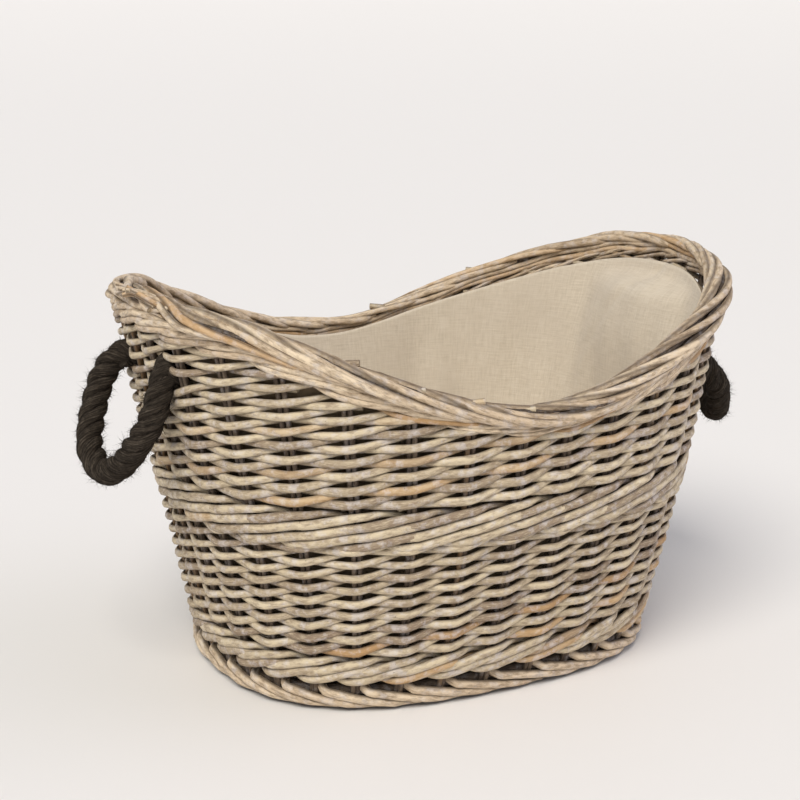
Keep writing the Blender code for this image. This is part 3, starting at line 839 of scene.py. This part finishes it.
def rope_inside(side, sign):
    """The two ends of the rope, turned towards each other and bound together behind the liner."""
    corner = INNER_DEPTH - INNER_TURN
    turn = np.linspace(0, math.pi / 2, 7)
    half = [(0.0, -HOLE_Y)] + [
        (corner + INNER_TURN * math.sin(a), -HOLE_Y + INNER_TURN * (1 - math.cos(a))) for a in turn
    ]
    local = half + [(x, -y) for x, y in reversed(half)]
    route = smooth_route([(sign * (ROPE_STUB_X - x * ROPE_SQUEEZE), y, HANDLE_Z) for x, y in local], 8)
    piece, hairs, _, _ = rope(f"rope_ends_{side}", route, radius=ROPE_RADIUS * 0.97, flat=ROPE_SQUEEZE)
    bpy.data.objects.remove(hairs)  # none would be seen there
    rides(piece, "basket", "brown_rope", f"rope_inside_{side}")
    twine = Rods()
    t = np.linspace(0, BINDING_TURNS, BINDING_TURNS * 20)
    centre = sign * (ROPE_STUB_X - INNER_DEPTH * ROPE_SQUEEZE)
    wide, high = ROPE_RADIUS * ROPE_SQUEEZE + 0.0010, ROPE_RADIUS + 0.0010
    wound = np.stack(
        [
            centre + wide * np.cos(2 * math.pi * t),
            (t / BINDING_TURNS - 0.5) * BINDING_LENGTH,
            HANDLE_Z + high * np.sin(2 * math.pi * t),
        ],
        axis=-1,
    )
    twine.add(wound, wound - np.array([centre, 0, HANDLE_Z]), TWINE_RADIUS, TWINE_RADIUS, shade=0.6)
    rides(twine.build(f"binding_twine_{side}", TWINE), "basket", "binding_twine", f"rope_binding_{side}")


# ---- the liner


def liner_surface(angle, share):
    """(point, outward normal) of the cloth; share 0 is at the floor and 1 at its top edge."""
    below = LINER_BELOW_MIDDLE + (LINER_BELOW_END - LINER_BELOW_MIDDLE) * smooth(0.25, 0.9, np.abs(np.cos(angle)))
    top = rim_height(angle) - below
    bottom = LINER_FLOOR + 0.001
    height = bottom + (top - bottom) * share
    y = oval(angle, height)[..., 1]
    # The cloth goes over the rope's hidden ends: short above them, and with a long slope below
    sideways = np.exp(-((y / BULGE_HALF_WIDTH) ** 4))
    over = height - HANDLE_Z
    above = np.exp(-((over / BULGE_HALF_HEIGHT) ** 4))
    beneath = np.exp(-(((over + BULGE_DEPTH) / BULGE_SLOPE) ** 2))
    upwards = np.where(over > 0, above, np.where(over > -BULGE_DEPTH, 1.0, beneath))
    bulge = LINER_BULGE * sideways * upwards * (np.abs(np.cos(angle)) > 0.3)
    place = angle / (2 * math.pi)
    folds = (
        0.9 * np.sin(2 * math.pi * (place * 23 + 0.4 * share))
        + 0.7 * np.sin(2 * math.pi * (place * 37 - 0.7 * share) + 1.3)
        + 1.0 * np.sin(2 * math.pi * (place * 9 + 1.2 * share) + 0.5)
    )
    slack = 0.0011 * (0.35 + 0.65 * np.sin(math.pi * np.clip(share, 0, 1)) ** 0.7)
    # The place round the wall in stakes, from -4 on, so that no crease crosses the seam
    arc = np.interp(np.mod(angle, 2 * math.pi), _angles, _arcs)
    stakes_round = (arc / PITCH - 0.5 + 4) % STAKES - 4
    for place_at_top, lean, strength in CREASES:
        off_line = (stakes_round - place_at_top - lean * (1 - share)) / 0.16
        slack = slack - strength / 2.5 * np.exp(-(off_line**2)) * smooth(0.55, 0.9, share)
    round_in = 0.010 * (1 - smooth(0.0, 0.05, share)) ** 2
    inwards = LINER_IN + bulge + slack * (1.6 + folds) + round_in
    return wall(angle, height, -inwards)


def cloth_mesh(name, points, columns, rows, uv):
    """A grid of points as a sheet that closes on itself, with cloth coordinates in metres."""
    mesh = bpy.data.meshes.new(name)
    faces = []
    for j in range(rows - 1):
        for i in range(columns):
            k = (i + 1) % columns
            faces.append((j * columns + i, j * columns + k, (j + 1) * columns + k, (j + 1) * columns + i))
    mesh.from_pydata([tuple(point) for point in points], [], faces)
    layer = mesh.uv_layers.new(name="cloth")
    for face in mesh.polygons:
        last = face.vertices[0] % columns == columns - 1
        for loop, vertex in zip(face.loop_indices, face.vertices):
            u, v = uv[vertex]
            if last and vertex % columns == 0:
                u += uv[columns - 1][0] + (uv[columns - 1][0] - uv[columns - 2][0])
            layer.data[loop].uv = (u, v)
    return bpy.data.objects.new(name, mesh)


def solid(obj, other=None):
    """Gives a sheet its thickness, half to each side, and its other side another material."""
    made = obj.modifiers.new("Thickness", "SOLIDIFY")
    made.thickness = CLOTH
    made.offset = 0
    if other is not None:
        obj.data.materials.append(other)
        made.material_offset = 1


def liner_wall():
    columns, rows = 360, 72
    angle = angle_at(np.arange(columns) / columns * STAKES - 0.5)
    grid = [liner_surface(angle, np.full(columns, j / (rows - 1)))[0] for j in range(rows)]
    points = np.array(grid).reshape(-1, 3)
    around = lengths_along(grid[rows // 2])
    uv = [(around[i], points[j * columns + i][2]) for j in range(rows) for i in range(columns)]
    piece = cloth_mesh("linen_liner", points, columns, rows, uv)
    finished(piece, LINEN_BACK_PAINTED_SHADE)
    solid(piece, LINEN)
    rides(piece, "basket", "natural_linen", "liner_wall")


def liner_floor():
    columns, rows = 160, 26
    angle = angle_at(np.arange(columns) / columns * STAKES)
    points, uv = [], []
    outline = wall(angle, np.full(columns, LINER_FLOOR + 0.004), -(LINER_IN + 0.0085))[0]
    for j in range(rows):
        share = 1 - j / (rows - 1) * 0.999
        for i in range(columns):
            x, y = outline[i, 0] * share, outline[i, 1] * share
            wave = 0.0006 * math.sin(31 * x + 17 * y) * math.sin(43 * y - 11 * x + 1)
            points.append((x, y, LINER_FLOOR + 0.0010 + wave + 0.0022 * max(0.0, share - 0.93) / 0.07))
            uv.append((x, y))
    piece = cloth_mesh("linen_floor", np.array(points), columns, rows, uv)
    # The floor's threads run straight across it, with no seam
    layer = piece.data.uv_layers["cloth"]
    for loop in piece.data.loops:
        layer.data[loop.index].uv = uv[loop.vertex_index]
    finished(piece, LINEN)
    solid(piece)
    rides(piece, "basket", "natural_linen", "liner_floor")


# ---- the base


def base():
    sticks, weave = Rods(), Rods()
    outline = oval(_angles, np.full_like(_angles, BASE_HEIGHT))

    def reach(place, across):
        """Half the base's width at a place, along the other axis."""
        other = 1 - across
        quarter = outline[(outline[:, 0] >= 0) & (outline[:, 1] >= 0)]
        order = np.argsort(quarter[:, across])
        return float(np.interp(abs(place), quarter[order, across], quarter[order, other])) - BASE_EDGE

    for i in range(-4, 5):
        for side in (-STICK_SIDE, STICK_SIDE):
            x = i * STICK_PITCH + side
            y = np.linspace(-1, 1, 40) * reach(x, 0)
            path = np.stack([x + 0 * y, y, BASE_LEVEL + 0 * y], axis=-1)
            sticks.add(path, np.tile(UP, (len(y), 1)), STICK_ROD, STICK_ROD)
    for k in range(-23, 24):
        y = k * BASE_ROW
        if abs(y) > outline[:, 1].max() - WEAVE_EDGE:
            continue
        half = reach(y, 1)
        x = np.linspace(-half, half, int(half / 0.002))
        swing = np.tanh(1.8 * np.cos(math.pi * x / STICK_PITCH + math.pi * (k % 2))) * 0.0049
        path = np.stack([x, y + wander(len(x), 9, 0.0003), BASE_LEVEL + swing], axis=-1)
        weave.add(path, np.tile(UP, (len(x), 1)), 0.0024, 0.0028)
    rides(sticks.build("base_stick_rods", STAKE), "basket", "willow_stake", "base_sticks")
    rides(weave.build("base_weave_rods", WEAVE), "basket", "washed_willow", "base_weave")


# ---- build and place


rides(stakes(), "basket", "willow_stake", *[f"stake_{i + 1:02}" for i in range(STAKES)])
rides(
    wale("lower_wale_rods", constant(LOWER_WALE[0]), constant(LOWER_WALE[1] - LOWER_WALE[0]), 2, WEAVE),
    "basket",
    "washed_willow",
    "lower_wale",
)
rides(
    siding("lower_siding_rods", LOWER_SIDING[0], constant(LOWER_SIDING[1] + SIDING_RUNS_UP)),
    "basket",
    "washed_willow",
    "lower_siding_1",
    "lower_siding_2",
    "lower_siding_3",
)
rides(
    wale("middle_wale_rods", constant(MIDDLE_WALE[0]), constant(MIDDLE_WALE[1] - MIDDLE_WALE[0]), 3, WEAVE),
    "basket",
    "washed_willow",
    "middle_wale",
)
rides(
    siding("upper_siding_rods", MIDDLE_WALE[1], lambda angle: siding_top(angle) + SIDING_RUNS_UP),
    "basket",
    "washed_willow",
    "upper_siding",
    *[f"{side}_end_siding_{i}" for side in ("left", "right") for i in (1, 2, 3)],
)
rides(wale("top_wale_rods", siding_top, top_wale_height, 2, BORDER), "basket", "washed_willow", "top_wale")
rides(rim_border(), "basket", "washed_willow", "rim_border")
rides(rim_core(), "basket", "willow_stake")
rides(rim_followers(), "basket", "washed_willow")
rides(tip_ends(), "basket", "washed_willow")
rides(foot_border(), "basket", "washed_willow", "foot_border")
rides(foot_core(), "basket", "willow_stake")
base()
liner_wall()
liner_floor()
for side, sign in (("left", -1), ("right", 1)):
    rope_handle(side, sign)
    rope_inside(side, sign)

# ---- floor, light and camera


def stage_and_light():
    mesh = bpy.data.meshes.new("floor")
    turns = np.arange(FLOOR_SIDES) * 2 * math.pi / FLOOR_SIDES
    points = [(0.0, 0.0, FLOOR_LEVEL)]
    points += [(radius * math.cos(t), radius * math.sin(t), z) for radius, z in FLOOR_RINGS for t in turns]
    faces = [(0, 1 + i, 1 + (i + 1) % FLOOR_SIDES) for i in range(FLOOR_SIDES)]
    for ring in range(len(FLOOR_RINGS) - 1):
        for i in range(FLOOR_SIDES):
            a, b = 1 + ring * FLOOR_SIDES + i, 1 + ring * FLOOR_SIDES + (i + 1) % FLOOR_SIDES
            faces.append((a, a + FLOOR_SIDES, b + FLOOR_SIDES, b))
    mesh.from_pydata(points, [], faces)
    mesh.shade_smooth()
    floor = bpy.data.objects.new("floor", mesh)
    bpy.context.scene.collection.objects.link(floor)
    made, _, principled = shader("pale_floor", 0.55, 0.3)
    principled.inputs["Base Color"].default_value = (0.83, 0.81, 0.79, 1)
    floor.data.materials.append(made)
    world = bpy.data.worlds.new("studio")
    world.use_nodes = True
    background = world.node_tree.nodes["Background"]
    background.inputs["Color"].default_value = (0.93, 0.95, 1.0, 1)
    background.inputs["Strength"].default_value = 0.42
    bpy.context.scene.world = world
    # (name, where it shines from, how wide it looks in degrees, strength, colour)
    for name, place, spread, energy, colour in (
        ("key", (-1.5, -1.5, 2.4), 34, 2.55, (1.0, 0.965, 0.90)),
        ("fill", (2.2, -0.9, 1.0), 50, 0.85, (0.87, 0.83, 1.0)),
    ):
        data = bpy.data.lights.new(name, "SUN")
        data.angle, data.energy, data.color = math.radians(spread), energy, colour
        lamp = bpy.data.objects.new(name, data)
        lamp.location = place
        lamp.rotation_mode = "QUATERNION"
        lamp.rotation_quaternion = Vector(place).to_track_quat("Z", "Y")
        bpy.context.scene.collection.objects.link(lamp)


def camera():
    """The photo's camera, as it was fitted together with the basket's size."""
    azimuth, elevation, distance = math.radians(-27.78), math.radians(13.18), 1.466
    to_the_left, target_height = 0.0145, 0.2138
    target = Vector((-to_the_left * math.cos(azimuth), -to_the_left * math.sin(azimuth), target_height))
    back = Vector(
        (
            math.sin(azimuth) * math.cos(elevation),
            -math.cos(azimuth) * math.cos(elevation),
            math.sin(elevation),
        )
    )
    data = bpy.data.cameras.new("camera")
    data.sensor_width, data.lens = 36.0, 75.94
    data.shift_x = -0.0034
    made = bpy.data.objects.new("camera", data)
    made.rotation_mode = "QUATERNION"
    made.location = target + back * distance
    made.rotation_quaternion = back.to_track_quat("Z", "Y")
    bpy.context.scene.collection.objects.link(made)
    bpy.context.scene.camera = made
    bpy.context.scene.view_settings.view_transform = "Standard"


stage_and_light()
camera()
